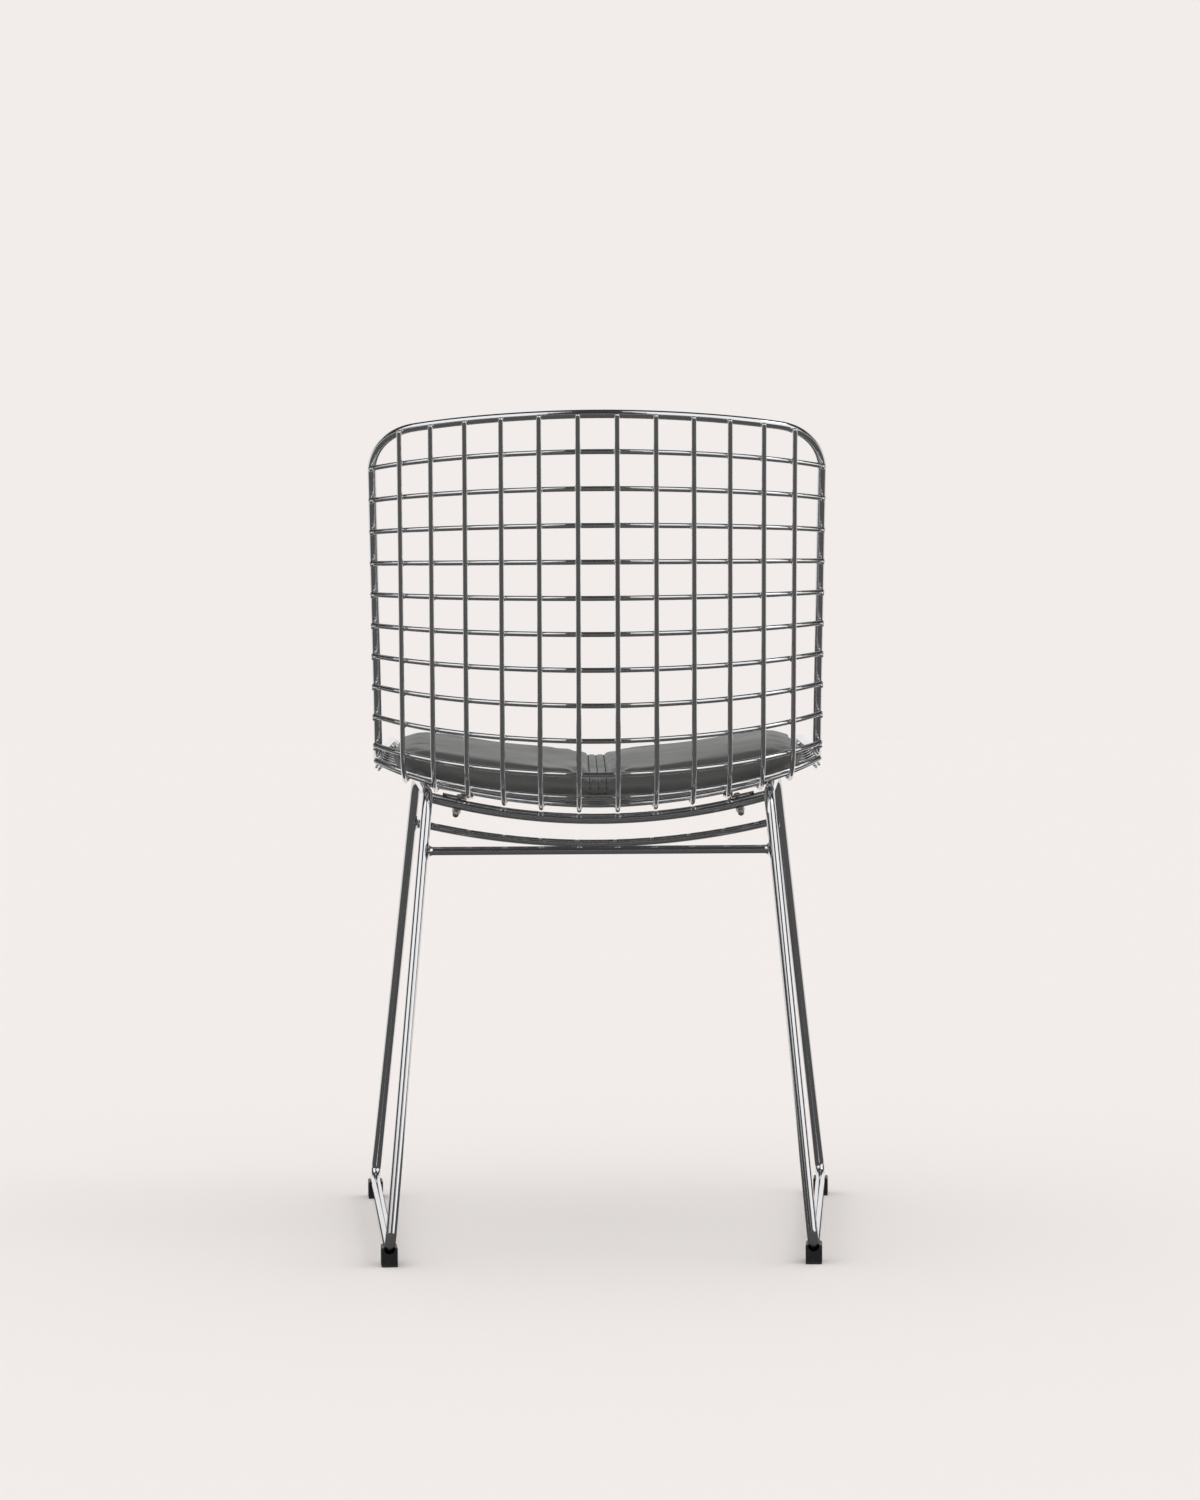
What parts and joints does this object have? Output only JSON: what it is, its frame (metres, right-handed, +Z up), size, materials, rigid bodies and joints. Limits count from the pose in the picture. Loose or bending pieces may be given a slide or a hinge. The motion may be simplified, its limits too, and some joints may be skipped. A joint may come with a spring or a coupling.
{
  "type": "wire mesh side chair",
  "caption": "Side chair with a curved welded wire mesh seat and back in one shell, on a bent rod sled base, with a loose padded seat cushion.",
  "frame": {"origin": "on the floor, under the middle of the chair's bounding box", "axes": "+Z up, -Y the way the sitter faces, +X to the sitter's left, across the chair's mirror plane"},
  "size_m": [0.486, 0.5416, 0.7829],
  "materials": {
    "chrome": "bright chrome plate on steel wire and rod",
    "clip_steel": "bright plated sheet steel",
    "fastener_steel": "zinc plated steel, slightly dull",
    "glide_plastic": "moulded black plastic, matte",
    "leatherette": "black coated cloth with a fine grain, semi-matt",
    "foam": "cut upholstery foam"
  },
  "bodies": {
    "chair": {"back_rim_rod": "chrome", "seat_rim_rod": "chrome", "long_wire_01": "chrome", "long_wire_02": "chrome", "long_wire_03": "chrome", "long_wire_04": "chrome", "long_wire_05": "chrome", "long_wire_06": "chrome", "long_wire_07": "chrome", "long_wire_08": "chrome", "long_wire_09": "chrome", "long_wire_10": "chrome", "long_wire_11": "chrome", "long_wire_12": "chrome", "cross_wire_01": "chrome", "cross_wire_02": "chrome", "cross_wire_03": "chrome", "cross_wire_04": "chrome", "cross_wire_05": "chrome", "cross_wire_06": "chrome", "cross_wire_07": "chrome", "cross_wire_08": "chrome", "cross_wire_09": "chrome", "cross_wire_10": "chrome", "cross_wire_11": "chrome", "cross_wire_12": "chrome", "cross_wire_13": "chrome", "cross_wire_14": "chrome", "cross_wire_15": "chrome", "cross_wire_16": "chrome", "cross_wire_17": "chrome", "cross_wire_18": "chrome", "cross_wire_19": "chrome", "cross_wire_20": "chrome", "cross_wire_21": "chrome", "cross_wire_22": "chrome", "left_side_frame": "chrome", "right_side_frame": "chrome", "rear_seat_rod": "chrome", "front_seat_rod": "chrome", "rear_stretcher": "chrome", "front_stretcher": "chrome", "rear_left_clip": "clip_steel", "rear_right_clip": "clip_steel", "front_left_clip": "clip_steel", "front_right_clip": "clip_steel", "clip_bolts": "fastener_steel", "clip_nuts": "fastener_steel", "rear_left_glide": "glide_plastic", "rear_right_glide": "glide_plastic", "front_left_glide": "glide_plastic", "front_right_glide": "glide_plastic"},
    "seat_pad": {"seat_pad_cover": "leatherette", "seat_pad_foam": "foam"}
  },
  "joints": [
    {"name": "pad_lift", "type": "slide", "parent": "chair", "child": "seat_pad", "axis": [0, 0, 1], "range_m": [0, 0.15]}
  ]
}
